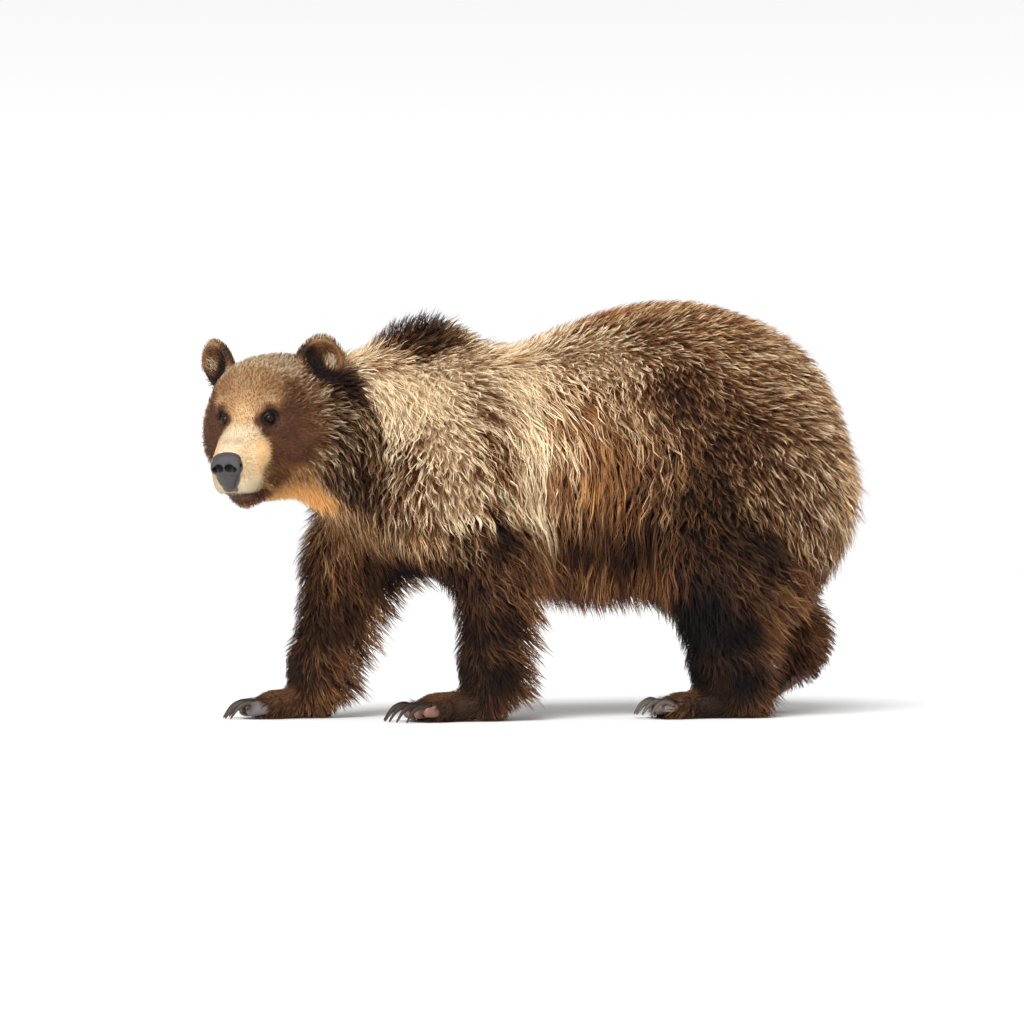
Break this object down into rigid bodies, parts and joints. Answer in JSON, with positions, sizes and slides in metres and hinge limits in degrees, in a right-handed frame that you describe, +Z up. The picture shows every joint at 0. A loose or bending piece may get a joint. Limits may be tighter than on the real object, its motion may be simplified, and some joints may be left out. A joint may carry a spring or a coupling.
{
  "type": "brown bear",
  "caption": "Life-size brown bear in mid walk with its head turned to its left, long shaggy coat over a humped body, rounded ears and long curved claws.",
  "frame": {"origin": "the middle of the bounding box, at floor level", "axes": "+X towards the tail, +Y towards the right flank of the bear, +Z up; the bear walks towards -X"},
  "size_m": [1.726, 0.6838, 1.032],
  "materials": {
    "body_coat": "long shaggy fur, golden brown to dark brown",
    "dark_coat": "dark chocolate fur",
    "head_coat": "short fur, tan and reddish brown",
    "nose": "moist pebbled skin, grey black",
    "eyes": "wet, dark brown",
    "claws": "horn, dark grey brown with paler tips"
  },
  "bodies": {
    "root": {"claw_fore_left_1": "claws", "claw_fore_left_2": "claws", "claw_fore_left_3": "claws", "claw_fore_left_4": "claws", "claw_fore_left_5": "claws", "claw_fore_right_1": "claws", "claw_fore_right_2": "claws", "claw_fore_right_3": "claws", "claw_fore_right_4": "claws", "claw_fore_right_5": "claws", "claw_hind_left_1": "claws", "claw_hind_left_2": "claws", "claw_hind_left_3": "claws", "claw_hind_left_4": "claws", "claw_hind_left_5": "claws", "claw_hind_right_1": "claws", "claw_hind_right_2": "claws", "claw_hind_right_3": "claws", "claw_hind_right_4": "claws", "claw_hind_right_5": "claws", "ear_left": "dark_coat", "ear_right": "dark_coat", "eye_left": "eyes", "eye_right": "eyes", "forearm_left": "dark_coat", "forearm_right": "dark_coat", "forepaw_left": "dark_coat", "forepaw_right": "dark_coat", "head": "head_coat", "hindfoot_left": "dark_coat", "hindfoot_right": "dark_coat", "neck": "body_coat", "nose": "nose", "shank_left": "dark_coat", "shank_right": "dark_coat", "tail": "dark_coat", "thigh_left": "dark_coat", "thigh_right": "dark_coat", "torso": "body_coat", "upper_arm_left": "dark_coat", "upper_arm_right": "dark_coat"}
  },
  "joints": []
}
